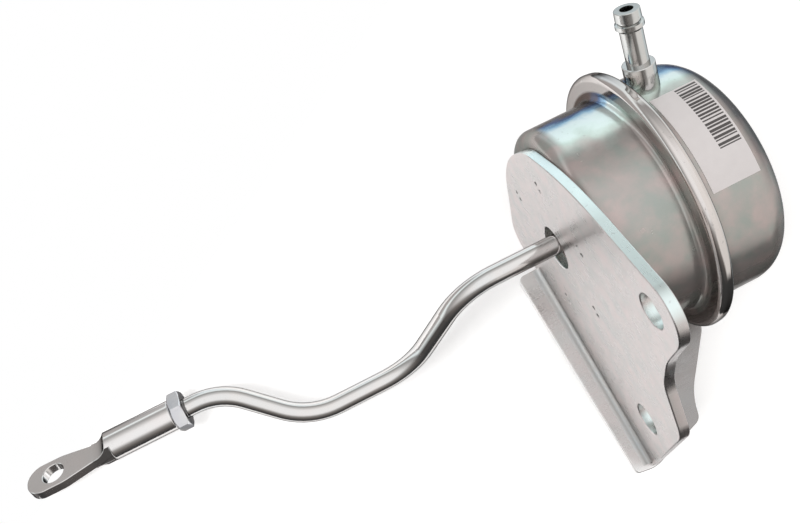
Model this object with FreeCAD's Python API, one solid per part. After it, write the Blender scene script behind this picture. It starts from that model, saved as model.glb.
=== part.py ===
import FreeCAD, Part
import math
import os

from FreeCAD import Placement, Rotation, Vector

os.makedirs("parts", exist_ok=True)

# Wastegate actuator: a sheet steel diaphragm canister on a bolted bracket, with a bent push rod.
# Millimetres, +Z up along the canister from the rod side to the closed end.
# The origin is midway between the two bolt holes, on the bracket's rod side face.
# +X runs along the line through the two bolt holes.

# Bracket
PLATE_THICKNESS = 3.2
BOLT_SPACING = 61.2
BOLT_HOLE_DIAMETER = 9.6
ROD_HOLE_DIAMETER = 13.8
ROD_HOLE_OFFSET_X = 3.0
ROD_HOLE_OFFSET_Y = 0.6
RIM_SETBACK = 6.4

# Free corners of the bracket plate: first, second, rounding
BRACKET_CORNERS = [
    (34.2, 80.3, 8.0),
    (-8.4, 78.8, 42.0),
    (-26.6, 62.4, 20.0),
    (-37.1, 39.0, 100.0),
    (-43.2, -13.0, 10.0),
    (-29.0, -10.8, 12.0),
    (-16.0, -7.0, 30.0),
    (-3.0, -6.6, 12.0),
    (12.5, -15.4, 9.0),
]

# Shallow prints left by the projection welds that hold the canister, in pairs round the rod hole
WELD_PRINT_CIRCLE = 22.5
WELD_PRINT_ANGLES = (92, 161, 221, 283, 348, 33)
WELD_PRINT_PAIR_ANGLE = 120
WELD_PRINT_PAIR_SPACING = 2.5
WELD_PRINT_RADIUS = 0.85
WELD_PRINT_FLOOR_RADIUS = 0.3
WELD_PRINT_DEPTH = 0.6

# Side plate across the bracket's long edge
SIDE_PLATE_GAP = 4.5
SIDE_PLATE_ANGLE = 18.7
SIDE_PLATE_START = -4.5
SIDE_PLATE_END = 67.4
SIDE_PLATE_LIP = 7.6
SIDE_PLATE_RISE = 40.5
SIDE_PLATE_OVERLAP = 0.3
LIP_ROUNDING = 2.0
EAR_SETBACK = 9.85
EAR_ROUNDING = 4.0
EAR_ROOT_ROUNDING = 7.0

# Fillet weld in the corner of the two plates, with the chamfer cut for it in the bracket plate
SIDE_WELD_LEG = 2.4
SIDE_WELD_DEPTH = 1.6
SIDE_WELD_HOLLOW = 0.36
SIDE_WELD_INSET = 0.5
SIDE_WELD_STOP = 1.5

# Free end of the side plate, in distance along it, height and rounding
SIDE_PLATE_NOSE = [
    (67.0, -5.4, 1.5),
    (67.9, 1.0, 10.0),
    (61.6, 20.6, 3.5),
    (54.0, 22.8, 22.0),
    (37.5, 37.0, 7.0),
]

# Canister shells
SHEET = 1.1
CAN_RADIUS = 35.1
CUP_INSET = 1.5
CUP_CORNER = 3.6
RIM_REACH = 5.9
RIM_BOTTOM = 26.9
RIM_TAPER = 0.3
RIM_LIP_GAP = 2.0
RIM_NECK_BEND = 1.4
RIM_LOW_BEND = 1.7
RIM_HIGH_BEND = 1.5
CAN_TOP = 55.7
CAN_SHOULDER = 9.5
CAN_FOOT_BEND = 1.6
VENT_RADIUS = 5.6

# Hose nipple
NIPPLE_HEIGHT = 37.2
NIPPLE_ANGLE = 159.2
NIPPLE_LENGTH = 23.7
NIPPLE_SHANK_RADIUS = 3.2
NIPPLE_COLLAR_RADIUS = 4.6
NIPPLE_COLLAR_LENGTH = 7.5
NIPPLE_BORE_RADIUS = 1.9

# Barbs of the nipple: distance back from the tip, radius and rounding
NIPPLE_BARBS = [
    (5.8, 3.2, 0),
    (5.0, 4.0, 0),
    (3.8, 4.0, 0),
    (3.5, 3.2, 0),
    (2.9, 3.2, 0),
    (2.7, 3.65, 0),
    (0, 3.55, 0.2),
]

# Label on the can's wall
LABEL_START_ANGLE = 171.5
LABEL_END_ANGLE = 223.0
LABEL_GAP = 3.0
LABEL_HEIGHT = 14.3
LABEL_THICKNESS = 0.15

# Diaphragm, piston and spring
STROKE = 12.0
DIAPHRAGM_THICKNESS = 0.9
CONVOLUTION_DEPTH = 4.0
ROLLING_SPACE = 4.1
PISTON_TOP = 45.0
RETAINER_INSET = 5.9
ROD_WASHER_RADIUS = 9.0
PISTON_NUT_ACROSS_FLATS = 8.0
PISTON_NUT_THICKNESS = 4.0
SPRING_WIRE = 3.4
SPRING_RADIUS = 20.3
SPRING_TURNS = 6
SPRING_GRIND = 1.1
SEAT_FLANGE_RADIUS = 24.0
SEAT_COLLAR_HEIGHT = 4.5

# Loose guide washer of the rod and the hat over it
BUSH_RADIUS = 8.0
BUSH_THICKNESS = 3.0
BUSH_PLAY = 0.6
HAT_FLANGE = 5.0
HAT_MOUTH = 1.6

# Rod
ROD_DIAMETER = 6.0
ROD_STEP_DIAMETER = 5.0
ROD_TAIL = 5.4
ROD_OFFSET_X = 26.0
ROD_RETURN_X = 13.3
ROD_RETURN_Y = 15.2
BEND_HEIGHTS = (-31.0, -53.0, -87.4, -108.4)
BEND_RADII = (22.0, 20.0, 24.0, 20.0)

# Rod end and jam nut
NUT_ACROSS_FLATS = 11.0
NUT_THICKNESS = 3.8
NUT_DROP = 10.8
NUT_ANGLE = 48.0
NUT_SEAT = 0.2
SLEEVE_LENGTH = 20.2
ROD_END_RADIUS = 4.65
ROD_END_SOLID = 4.5
EYE_DROP = 18.4
EYE_HOLE_DIAMETER = 6.6
EYE_REACH = 8.1
TONGUE_ANGLE = -15.0
TONGUE_SHIFT = 0.9
TONGUE_THICKNESS = 3.0
TONGUE_NECK = 6.8
TONGUE_WIDTH = 10.5
NECK_LENGTH = 6.0
NECK_OVERLAP = 1.0
NECK_CUTTER_RADIUS = 5.6
NECK_SIDE_BEND = 8.0
FLARE_LENGTH = 9.5
FLARE_BEND = 14.0

# Drop of a nut's chamfered corners, for each millimetre from the flats to the corners
NUT_CORNER_SLOPE = 0.6

# Clearances between separate pieces
RUNNING = 0.05
THREAD_FIT = 0.02
SEAT = 0.1
ROLLING_GAP = 0.1
COIL_GAP = 0.3
FLANGE_ROOM = 0.5
SKIRT_CLEARANCE = 1.1

# Broken edges and the inner bend of formed sheet
EDGE = 0.3
BEND = 1.1

# Sizes and places worked out from the values above
CUP_RADIUS = CAN_RADIUS - CUP_INSET
RIM_RADIUS = CAN_RADIUS + RIM_REACH
AXIS = Vector(0, RIM_RADIUS + RIM_SETBACK, 0)
UP = Vector(0, 0, 1)
CUP_FLOOR = PLATE_THICKNESS + SHEET
BEAD_BOTTOM = RIM_BOTTOM + SHEET
BEAD_TOP = BEAD_BOTTOM + SHEET
RIM_TOP = BEAD_TOP + 2 * SHEET
CAN_CEILING = CAN_TOP - SHEET
NIPPLE_TIP = CAN_RADIUS + NIPPLE_LENGTH
PISTON_RADIUS = CUP_RADIUS - SHEET - ROLLING_SPACE
RETAINER_RADIUS = PISTON_RADIUS - RETAINER_INSET
ROD_RADIUS = ROD_DIAMETER / 2
STEP_RADIUS = ROD_STEP_DIAMETER / 2
STEP_BORE = STEP_RADIUS + THREAD_FIT
PISTON_UNDERSIDE = PISTON_TOP - SHEET
ROD_SHOULDER = PISTON_UNDERSIDE - SHEET
RETAINER_BOTTOM = PISTON_TOP + DIAPHRAGM_THICKNESS
RETAINER_TOP = RETAINER_BOTTOM + SHEET
SEAT_COLLAR_RADIUS = SPRING_RADIUS - SPRING_WIRE / 2 - COIL_GAP
SPRING_BOTTOM = CUP_FLOOR + SHEET
PISTON_SKIRT = SPRING_BOTTOM + SEAT_COLLAR_HEIGHT + STROKE + SKIRT_CLEARANCE
SIDE_NORMAL = Vector(math.cos(math.radians(SIDE_PLATE_ANGLE)), math.sin(math.radians(SIDE_PLATE_ANGLE)), 0)
SIDE_ALONG = Vector(SIDE_NORMAL.y, -SIDE_NORMAL.x, 0)
SIDE_PLATE_DISTANCE = CUP_RADIUS + SIDE_PLATE_GAP
SIDE_FOOT = AXIS + SIDE_NORMAL * SIDE_PLATE_DISTANCE
EAR_START = math.sqrt(RIM_RADIUS ** 2 - SIDE_PLATE_DISTANCE ** 2) + EAR_SETBACK
ROD_END_PLACE = AXIS + Vector(ROD_RETURN_X, ROD_RETURN_Y, 0)
NUT_TOP = BEND_HEIGHTS[3] - NUT_DROP
ROD_END_TOP = NUT_TOP - NUT_THICKNESS - NUT_SEAT
ROD_END_STEP = ROD_END_TOP - SLEEVE_LENGTH
EYE_HEIGHT = ROD_END_STEP - EYE_DROP


def rounded_outline(corners):
    """Closed wire through corners (first, second, radius), each rounded by its own radius."""
    edges = []
    count = len(corners)
    starts = []
    ends = []
    middles = []
    for i in range(count):
        x, y, radius = corners[i]
        here = Vector(x, y, 0)
        before = Vector(corners[i - 1][0], corners[i - 1][1], 0)
        after = Vector(corners[(i + 1) % count][0], corners[(i + 1) % count][1], 0)
        if radius == 0:
            starts.append(here)
            ends.append(here)
            middles.append(None)
            continue
        start, middle, end = bend(before, here, after, radius)
        starts.append(start)
        ends.append(end)
        middles.append(middle)
    for i in range(count):
        if middles[i] is not None:
            edges.append(Part.Arc(starts[i], middles[i], ends[i]).toShape())
        following = starts[(i + 1) % count]
        if (following - ends[i]).Length > 1e-6:
            edges.append(Part.LineSegment(ends[i], following).toShape())
    return Part.Wire(edges)


def bend(before, here, after, radius):
    """Start, middle and end of the arc that rounds the corner at here."""
    back = (before - here).normalize()
    ahead = (after - here).normalize()
    half = back.getAngle(ahead) / 2
    reach = radius / math.tan(half)
    bisector = (back + ahead).normalize()
    return here + back * reach, here + bisector * (radius / math.sin(half) - radius), here + ahead * reach


def turned(corners, centre=AXIS):
    """Body turned about the vertical through centre, from a section of (radius, height, rounding)."""
    face = Part.Face(rounded_outline(corners))
    face.rotate(Vector(0, 0, 0), Vector(1, 0, 0), 90)
    face.translate(centre)
    return face.revolve(centre, UP, 360)


def on_axes(shape, first, second, third, origin):
    """Carry a shape from the axes it was drawn on to three other axes at an origin."""
    matrix = FreeCAD.Matrix(
        first.x, second.x, third.x, origin.x,
        first.y, second.y, third.y, origin.y,
        first.z, second.z, third.z, origin.z,
        0, 0, 0, 1)
    shape.Placement = Placement(matrix)
    return shape


def side_point(along, outward):
    """Point of the bracket's plane given along the side plate and outward from its inner face."""
    return SIDE_FOOT + SIDE_ALONG * along + SIDE_NORMAL * outward


def bracket_plate():
    """Flat plate with the rod hole and two ears for the bolts; its long side butts the side plate."""
    hook = side_point(SIDE_PLATE_START - SIDE_PLATE_OVERLAP, PLATE_THICKNESS)
    inner = side_point(SIDE_PLATE_START - SIDE_PLATE_OVERLAP, 0)
    low_end = side_point(SIDE_PLATE_END - SIDE_PLATE_OVERLAP, 0)
    corners = [(low_end.x, low_end.y, 0), (inner.x, inner.y, 0), (hook.x, hook.y, 0)]
    plate = Part.Face(rounded_outline(corners + BRACKET_CORNERS)).extrude(UP * PLATE_THICKNESS)
    for side in (-1, 1):
        bolt_place = Vector(side * BOLT_SPACING / 2, 0, 0)
        plate = plate.cut(Part.makeCylinder(BOLT_HOLE_DIAMETER / 2, PLATE_THICKNESS, bolt_place))
    rod_hole_centre = AXIS + Vector(ROD_HOLE_OFFSET_X, ROD_HOLE_OFFSET_Y, 0)
    plate = plate.cut(Part.makeCylinder(ROD_HOLE_DIAMETER / 2, PLATE_THICKNESS, rod_hole_centre))
    for angle in WELD_PRINT_ANGLES:
        pair = rod_hole_centre + polar(WELD_PRINT_CIRCLE, angle)
        for side in (-1, 1):
            place = pair + polar(side * WELD_PRINT_PAIR_SPACING / 2, WELD_PRINT_PAIR_ANGLE)
            weld_print = Part.makeCone(WELD_PRINT_RADIUS, WELD_PRINT_FLOOR_RADIUS, WELD_PRINT_DEPTH, place)
            plate = plate.cut(weld_print)
    chamfer = [Vector(0, 0, 0), Vector(0, SIDE_WELD_DEPTH, 0), Vector(-SIDE_WELD_LEG, 0, 0), Vector(0, 0, 0)]
    return plate.cut(along_weld(Part.makePolygon(chamfer)))


def along_weld(outline):
    """Carry a section from (outward, height) to the corner of the two plates and draw it out along the weld."""
    first = SIDE_PLATE_START + SIDE_WELD_INSET
    length = SIDE_PLATE_END - SIDE_WELD_STOP - first
    return on_axes(Part.Face(outline).extrude(UP * length), SIDE_NORMAL, UP, SIDE_ALONG, side_point(first, 0))


def polar(radius, degrees):
    """Flat vector of a length and a direction."""
    return Vector(radius * math.cos(math.radians(degrees)), radius * math.sin(math.radians(degrees)), 0)


def side_plate():
    """Plate across the bracket's long side: a low lip on the rod side and a tall ear beside the canister."""
    corners = [(SIDE_PLATE_START, -SIDE_PLATE_LIP, LIP_ROUNDING)] + SIDE_PLATE_NOSE + [
        (EAR_START, SIDE_PLATE_RISE, EAR_ROUNDING),
        (EAR_START, PLATE_THICKNESS, EAR_ROOT_ROUNDING),
        (SIDE_PLATE_START, PLATE_THICKNESS, 0),
    ]
    outline = rounded_outline([(-along, height, radius) for along, height, radius in corners])
    plate = Part.Face(outline).extrude(UP * PLATE_THICKNESS)
    return on_axes(plate, SIDE_ALONG * -1, UP, SIDE_NORMAL, SIDE_FOOT)


def side_weld():
    """Concave fillet weld between the side plate's lip and the chamfer of the bracket plate."""
    leg = SIDE_WELD_LEG
    root = Vector(0, SIDE_WELD_DEPTH, 0)
    start = Vector(-leg, 0, 0)
    end = Vector(0, -leg, 0)
    middle = (start + end) * SIDE_WELD_HOLLOW
    return along_weld(Part.Wire([
        Part.LineSegment(root, start).toShape(),
        Part.Arc(start, middle, end).toShape(),
        Part.LineSegment(end, root).toShape(),
    ]))


def lower_can():
    """Drawn cup on the bracket, whose flange is rolled round the upper can's flange as the crimped rim."""
    inner = CUP_RADIUS - SHEET
    lip_under = RIM_TOP - SHEET
    return turned([
        (VENT_RADIUS, PLATE_THICKNESS, 0),
        (CUP_RADIUS, PLATE_THICKNESS, CUP_CORNER),
        (CUP_RADIUS, RIM_BOTTOM, RIM_NECK_BEND),
        (RIM_RADIUS, RIM_BOTTOM, RIM_LOW_BEND),
        (RIM_RADIUS - RIM_TAPER, RIM_TOP, RIM_HIGH_BEND),
        (CAN_RADIUS + RIM_LIP_GAP, RIM_TOP, 0),
        (CAN_RADIUS + RIM_LIP_GAP, lip_under, 0),
        (RIM_RADIUS - RIM_TAPER - SHEET, lip_under, RIM_HIGH_BEND - SHEET),
        (RIM_RADIUS - SHEET, BEAD_BOTTOM, RIM_LOW_BEND - SHEET),
        (inner, BEAD_BOTTOM, RIM_NECK_BEND - SHEET),
        (inner, CUP_FLOOR, CUP_CORNER - SHEET),
        (VENT_RADIUS, CUP_FLOOR, 0),
    ])


def upper_can():
    """Drawn cap with a large shoulder radius; its flange lies on the diaphragm's bead inside the rim."""
    flange = RIM_RADIUS - SHEET - FLANGE_ROOM
    shell = turned([
        (0, CAN_TOP, 0),
        (CAN_RADIUS, CAN_TOP, CAN_SHOULDER),
        (CAN_RADIUS, BEAD_TOP + SHEET, CAN_FOOT_BEND - SHEET),
        (flange, BEAD_TOP + SHEET, 0),
        (flange, BEAD_TOP, 0),
        (CAN_RADIUS - SHEET, BEAD_TOP, CAN_FOOT_BEND),
        (CAN_RADIUS - SHEET, CAN_CEILING, CAN_SHOULDER - SHEET),
        (0, CAN_CEILING, 0),
    ])
    hole = Part.makeCylinder(NIPPLE_SHANK_RADIUS + RUNNING, CAN_RADIUS, Vector(0, 0, 0), Vector(1, 0, 0))
    return shell.cut(toward_nipple(hole))


def toward_nipple(shape):
    """Turn a shape built along +X from the origin to the nipple's direction and height on the can."""
    shape.rotate(Vector(0, 0, 0), UP, NIPPLE_ANGLE)
    shape.translate(AXIS + UP * NIPPLE_HEIGHT)
    return shape


def hose_nipple():
    """Turned hose tail, pushed through the can's wall up to its collar, with two barbs near the tip."""
    inside = CAN_RADIUS - 2 * SHEET
    collar_end = CAN_RADIUS + NIPPLE_COLLAR_LENGTH
    collar_start = CAN_RADIUS - 2 * SHEET + EDGE
    section = [
        (inside, NIPPLE_BORE_RADIUS, 0),
        (inside, NIPPLE_SHANK_RADIUS, 0),
        (collar_start, NIPPLE_SHANK_RADIUS, 0),
        (collar_start, NIPPLE_COLLAR_RADIUS, 0),
        (collar_end, NIPPLE_COLLAR_RADIUS, EDGE),
        (collar_end, NIPPLE_SHANK_RADIUS, 0),
    ]
    section += [(NIPPLE_TIP - back, radius, rounding) for back, radius, rounding in NIPPLE_BARBS]
    section.append((NIPPLE_TIP, NIPPLE_BORE_RADIUS, 0))
    body = Part.Face(rounded_outline(section)).revolve(Vector(0, 0, 0), Vector(1, 0, 0), 360)
    wall = Part.makeCylinder(CAN_RADIUS, CAN_TOP, AXIS)
    spigot = Part.makeCylinder(NIPPLE_SHANK_RADIUS, CAN_RADIUS, Vector(inside, 0, 0), Vector(1, 0, 0))
    return toward_nipple(body).cut(wall.cut(toward_nipple(spigot)))


def label():
    """Paper label stuck on the can's wall."""
    sweep = LABEL_END_ANGLE - LABEL_START_ANGLE
    corner = Vector(0, 0, 0)
    sheet = Part.makeCylinder(CAN_RADIUS + LABEL_THICKNESS, LABEL_HEIGHT, corner, UP, sweep)
    sheet = sheet.cut(Part.makeCylinder(CAN_RADIUS, LABEL_HEIGHT))
    sheet.rotate(corner, UP, LABEL_START_ANGLE)
    sheet.translate(AXIS + UP * (RIM_TOP + LABEL_GAP))
    return sheet


def diaphragm():
    """Rolling diaphragm: clamped bead, one hanging convolution, sleeve up the piston and flat centre."""
    thick = DIAPHRAGM_THICKNESS
    sleeve = PISTON_RADIUS + ROLLING_GAP
    wall = CUP_RADIUS - SHEET - ROLLING_GAP
    root = RIM_BOTTOM - CONVOLUTION_DEPTH
    bead = RIM_RADIUS - SHEET - 2 * FLANGE_ROOM
    return turned([
        (STEP_BORE, PISTON_TOP, 0),
        (sleeve, PISTON_TOP, thick),
        (sleeve, root, EDGE),
        (wall, root, thick + EDGE),
        (wall, BEAD_BOTTOM, EDGE),
        (bead, BEAD_BOTTOM, 0),
        (bead, BEAD_TOP, 0),
        (wall - thick, BEAD_TOP, thick),
        (wall - thick, root + thick, thick),
        (sleeve + thick, root + thick, thick),
        (sleeve + thick, PISTON_TOP + thick, 2 * thick),
        (STEP_BORE, PISTON_TOP + thick, 0),
    ])


def piston():
    """Inverted cup that carries the diaphragm and takes the spring under its top."""
    return turned([
        (STEP_BORE, PISTON_TOP, 0),
        (PISTON_RADIUS, PISTON_TOP, BEND + SHEET),
        (PISTON_RADIUS, PISTON_SKIRT, 0),
        (PISTON_RADIUS - SHEET, PISTON_SKIRT, 0),
        (PISTON_RADIUS - SHEET, PISTON_UNDERSIDE, BEND),
        (STEP_BORE, PISTON_UNDERSIDE, 0),
    ])


def retainer_cup():
    """Shallow cup that clamps the diaphragm's centre; its rim meets the can's end when the rod is in."""
    top = CAN_CEILING - SEAT
    return turned([
        (STEP_BORE, RETAINER_BOTTOM, 0),
        (RETAINER_RADIUS, RETAINER_BOTTOM, BEND + SHEET),
        (RETAINER_RADIUS, top, 0),
        (RETAINER_RADIUS - SHEET, top, 0),
        (RETAINER_RADIUS - SHEET, RETAINER_TOP, BEND),
        (STEP_BORE, RETAINER_TOP, 0),
    ])


def rod_washer():
    """Washer between the rod's shoulder and the piston."""
    return turned([
        (STEP_BORE, ROD_SHOULDER, 0),
        (ROD_WASHER_RADIUS, ROD_SHOULDER, EDGE),
        (ROD_WASHER_RADIUS, PISTON_UNDERSIDE, EDGE),
        (STEP_BORE, PISTON_UNDERSIDE, 0),
    ])


def hex_nut(across_flats, thickness, bore, bottom, turn):
    """Hexagon nut at the origin's axis, chamfered at the corners of both faces."""
    corner = across_flats / math.sqrt(3)
    nut = Part.Face(Part.makePolygon([polar(corner, 30 + 60 * i) for i in range(7)])).extrude(UP * thickness)
    drop = NUT_CORNER_SLOPE * (corner - across_flats / 2)
    crown = turned([
        (0, 0, 0),
        (across_flats / 2, 0, 0),
        (corner, drop, 0),
        (corner, thickness - drop, 0),
        (across_flats / 2, thickness, 0),
        (0, thickness, 0),
    ], Vector(0, 0, 0))
    nut = nut.common(crown).cut(Part.makeCylinder(bore, thickness))
    nut.rotate(Vector(0, 0, 0), UP, turn)
    nut.translate(UP * bottom)
    return nut


def return_spring():
    """Compression spring from the seat in the cup to the underside of the piston, ends ground flat."""
    height = PISTON_UNDERSIDE - SPRING_BOTTOM
    rise = height - 2 * SPRING_GRIND
    pitch = rise / SPRING_TURNS
    helix = Part.makeHelix(pitch, rise, SPRING_RADIUS)
    along = Vector(0, SPRING_RADIUS * 2 * math.pi, pitch)
    section = Part.Wire(Part.makeCircle(SPRING_WIRE / 2, Vector(SPRING_RADIUS, 0, 0), along))
    coil = Part.Wire(helix).makePipeShell([section], True, True)
    coil.translate(UP * SPRING_GRIND)
    wide = SPRING_RADIUS + SPRING_WIRE
    for low in (-SPRING_WIRE, height):
        coil = coil.cut(Part.makeBox(2 * wide, 2 * wide, SPRING_WIRE, Vector(-wide, -wide, low)))
    coil.translate(AXIS + UP * SPRING_BOTTOM)
    return coil


def spring_seat():
    """Ring on the cup's floor that centres the spring from inside."""
    return turned([
        (SEAT_COLLAR_RADIUS - SHEET, CUP_FLOOR, 0),
        (SEAT_FLANGE_RADIUS, CUP_FLOOR, EDGE),
        (SEAT_FLANGE_RADIUS, SPRING_BOTTOM, EDGE),
        (SEAT_COLLAR_RADIUS, SPRING_BOTTOM, EDGE),
        (SEAT_COLLAR_RADIUS, SPRING_BOTTOM + SEAT_COLLAR_HEIGHT, 0),
        (SEAT_COLLAR_RADIUS - SHEET, SPRING_BOTTOM + SEAT_COLLAR_HEIGHT, 0),
    ])


def rod_bush():
    """Loose guide washer that lines up with the rod by itself."""
    bore = ROD_RADIUS + RUNNING
    low = CUP_FLOOR + SEAT
    return turned([
        (bore, low, EDGE),
        (BUSH_RADIUS, low, EDGE),
        (BUSH_RADIUS, low + BUSH_THICKNESS, EDGE),
        (bore, low + BUSH_THICKNESS, EDGE),
    ])


def bush_retainer():
    """Welded hat that holds the guide washer on the cup's floor."""
    room = BUSH_RADIUS + BUSH_PLAY
    under = CUP_FLOOR + BUSH_THICKNESS + 2 * SEAT
    mouth = ROD_RADIUS + HAT_MOUTH
    return turned([
        (room, CUP_FLOOR, 0),
        (room + HAT_FLANGE, CUP_FLOOR, EDGE),
        (room + HAT_FLANGE, CUP_FLOOR + SHEET, EDGE),
        (room + SHEET, CUP_FLOOR + SHEET, EDGE),
        (room + SHEET, under + SHEET, BEND + EDGE),
        (mouth, under + SHEET, 0),
        (mouth, under, 0),
        (room, under, EDGE),
    ])


def rod_corners():
    """Corner points of the rod's centre line, from the piston down to inside the rod end."""
    high, second, third, low = BEND_HEIGHTS
    return [
        AXIS + UP * ROD_SHOULDER,
        AXIS + UP * high,
        AXIS + Vector(ROD_OFFSET_X, 0, second),
        AXIS + Vector(ROD_OFFSET_X, 0, third),
        ROD_END_PLACE + UP * low,
        ROD_END_PLACE + UP * (ROD_END_STEP + ROD_END_SOLID + SEAT),
    ]


def actuator_rod():
    """Round rod with two offsets, each of two bends, and a turned-down top for the piston's nut."""
    corners = rod_corners()
    edges = []
    last = corners[0]
    for i in range(1, len(corners) - 1):
        start, middle, end = bend(corners[i - 1], corners[i], corners[i + 1], BEND_RADII[i - 1])
        edges.append(Part.LineSegment(last, start).toShape())
        edges.append(Part.Arc(start, middle, end).toShape())
        last = end
    edges.append(Part.LineSegment(last, corners[-1]).toShape())
    section = Part.Wire(Part.makeCircle(ROD_RADIUS, corners[0], UP))
    rod = Part.Wire(edges).makePipeShell([section], True, False)
    tail = turned([
        (0, ROD_SHOULDER, 0),
        (STEP_RADIUS, ROD_SHOULDER, 0),
        (STEP_RADIUS, RETAINER_TOP + ROD_TAIL - EDGE, 0),
        (STEP_RADIUS - EDGE, RETAINER_TOP + ROD_TAIL, 0),
        (0, RETAINER_TOP + ROD_TAIL, 0),
    ])
    return rod.fuse(tail).removeSplitter()


def rod_end():
    """Tapped sleeve whose lower end is milled to a flat tongue with the pin's eye."""
    sleeve = turned([
        (0, ROD_END_STEP, 0),
        (ROD_END_RADIUS, ROD_END_STEP, 2 * EDGE),
        (ROD_END_RADIUS, ROD_END_TOP, 2 * EDGE),
        (0, ROD_END_TOP, 0),
    ], Vector(0, 0, 0))
    thread_low = ROD_END_STEP + ROD_END_SOLID
    sleeve = sleeve.cut(Part.makeCylinder(ROD_RADIUS + THREAD_FIT, ROD_END_TOP - thread_low, UP * thread_low))
    body = sleeve.fuse(rod_end_neck()).fuse(rod_end_tongue()).removeSplitter()
    reach = 2 * TONGUE_THICKNESS
    eye = Part.makeCylinder(EYE_HOLE_DIAMETER / 2, 2 * reach, Vector(-reach, 0, EYE_HEIGHT), Vector(1, 0, 0))
    body = body.cut(eye)
    body.rotate(Vector(0, 0, 0), UP, TONGUE_ANGLE)
    body.translate(ROD_END_PLACE)
    return body


def rod_end_neck():
    """Neck under the sleeve, hollowed on two sides by the cutter that leaves the tongue."""
    height = NECK_LENGTH + NECK_OVERLAP
    low = ROD_END_STEP - NECK_LENGTH
    corner = Vector(-ROD_END_RADIUS, -TONGUE_NECK / 2, low)
    neck = Part.makeBox(2 * ROD_END_RADIUS, TONGUE_NECK, height, corner)
    neck = neck.common(Part.makeCylinder(ROD_END_RADIUS, height, UP * low))
    for side in (-1, 1):
        across = TONGUE_SHIFT + side * (TONGUE_THICKNESS / 2 + NECK_CUTTER_RADIUS)
        start = Vector(across, -TONGUE_WIDTH, low)
        neck = neck.cut(Part.makeCylinder(NECK_CUTTER_RADIUS, 2 * TONGUE_WIDTH, start, Vector(0, 1, 0)))
    return neck


def rod_end_tongue():
    """Flat tongue that widens from the neck to the round eye."""
    half = TONGUE_WIDTH / 2
    half_neck = TONGUE_NECK / 2
    neck_low = ROD_END_STEP - NECK_LENGTH - EDGE
    flare_low = ROD_END_STEP - NECK_LENGTH - FLARE_LENGTH
    tip = EYE_HEIGHT - EYE_REACH
    side = [
        (half_neck, ROD_END_STEP + EDGE, 0),
        (half_neck, neck_low, NECK_SIDE_BEND),
        (half, flare_low, FLARE_BEND),
        (half, tip, half - EDGE),
    ]
    other_side = [(-across, height, radius) for across, height, radius in reversed(side)]
    tongue = Part.Face(rounded_outline(side + other_side)).extrude(UP * TONGUE_THICKNESS)
    face = Vector(TONGUE_SHIFT - TONGUE_THICKNESS / 2, 0, 0)
    return on_axes(tongue, Vector(0, 1, 0), UP, Vector(1, 0, 0), face)


def jam_nut():
    """Nut that locks the rod end on the rod."""
    nut = hex_nut(NUT_ACROSS_FLATS, NUT_THICKNESS, ROD_RADIUS + THREAD_FIT, NUT_TOP - NUT_THICKNESS, NUT_ANGLE)
    nut.translate(ROD_END_PLACE)
    return nut


def piston_nut():
    """Nut that clamps washer, piston, diaphragm and retainer on the rod."""
    nut = hex_nut(PISTON_NUT_ACROSS_FLATS, PISTON_NUT_THICKNESS, STEP_BORE, RETAINER_TOP, 0)
    nut.translate(AXIS)
    return nut


PIECES = {
    "bracket_plate": bracket_plate,
    "side_plate": side_plate,
    "side_weld": side_weld,
    "lower_can": lower_can,
    "upper_can": upper_can,
    "hose_nipple": hose_nipple,
    "label": label,
    "diaphragm": diaphragm,
    "piston": piston,
    "retainer_cup": retainer_cup,
    "rod_washer": rod_washer,
    "piston_nut": piston_nut,
    "return_spring": return_spring,
    "spring_seat": spring_seat,
    "rod_bush": rod_bush,
    "bush_retainer": bush_retainer,
    "actuator_rod": actuator_rod,
    "jam_nut": jam_nut,
    "rod_end": rod_end,
}

for name, make in PIECES.items():
    shape = make()
    if shape.ShapeType == "Compound" and len(shape.Solids) == 1:
        shape = shape.Solids[0]
    box = shape.BoundBox
    print(name, shape.ShapeType, len(shape.Solids), "solid", "valid" if shape.isValid() else "NOT VALID",
          round(shape.Volume), "mm3", "z", round(box.ZMin, 1), round(box.ZMax, 1))
    shape.exportStep("parts/" + name + ".step")
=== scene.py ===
# %% [markdown]
# # A wastegate actuator, dressed for its picture
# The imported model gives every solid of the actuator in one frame, in metres.
# This lesson adds the camera, the light, the plated finishes and the broken edges that the solids leave out.

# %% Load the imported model
import math

import bpy
from mathutils import Matrix, Vector


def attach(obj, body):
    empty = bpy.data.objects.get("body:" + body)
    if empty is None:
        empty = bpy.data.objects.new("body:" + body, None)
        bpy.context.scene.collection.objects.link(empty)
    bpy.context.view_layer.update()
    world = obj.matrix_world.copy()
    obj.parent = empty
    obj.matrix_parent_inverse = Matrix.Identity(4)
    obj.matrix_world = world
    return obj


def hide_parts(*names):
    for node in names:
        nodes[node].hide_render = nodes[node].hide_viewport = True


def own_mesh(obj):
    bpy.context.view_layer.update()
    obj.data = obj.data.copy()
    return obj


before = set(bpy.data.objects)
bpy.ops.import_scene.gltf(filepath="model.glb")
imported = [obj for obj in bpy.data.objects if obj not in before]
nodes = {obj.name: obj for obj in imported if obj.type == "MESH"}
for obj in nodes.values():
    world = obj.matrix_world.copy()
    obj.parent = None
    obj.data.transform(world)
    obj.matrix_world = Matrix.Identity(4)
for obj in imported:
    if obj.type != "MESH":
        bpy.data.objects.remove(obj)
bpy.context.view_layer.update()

MM = 0.001
print("pieces of the model:", sorted(nodes))

# %% [markdown]
# ## The camera
# The photograph was fitted with the rim, the bolt holes and the rod.
# That gives the camera's place and its three directions.
# The picture was cropped, so the lens looked at a point above its middle, and it is shifted a little here.

# %% Camera at the photograph's view
IMAGE_WIDTH = 800
IMAGE_HEIGHT = 524
FOCAL_PIXELS = 908.0
CENTRE_PIXEL_Y = 214.0
SENSOR = 36.0

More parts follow.
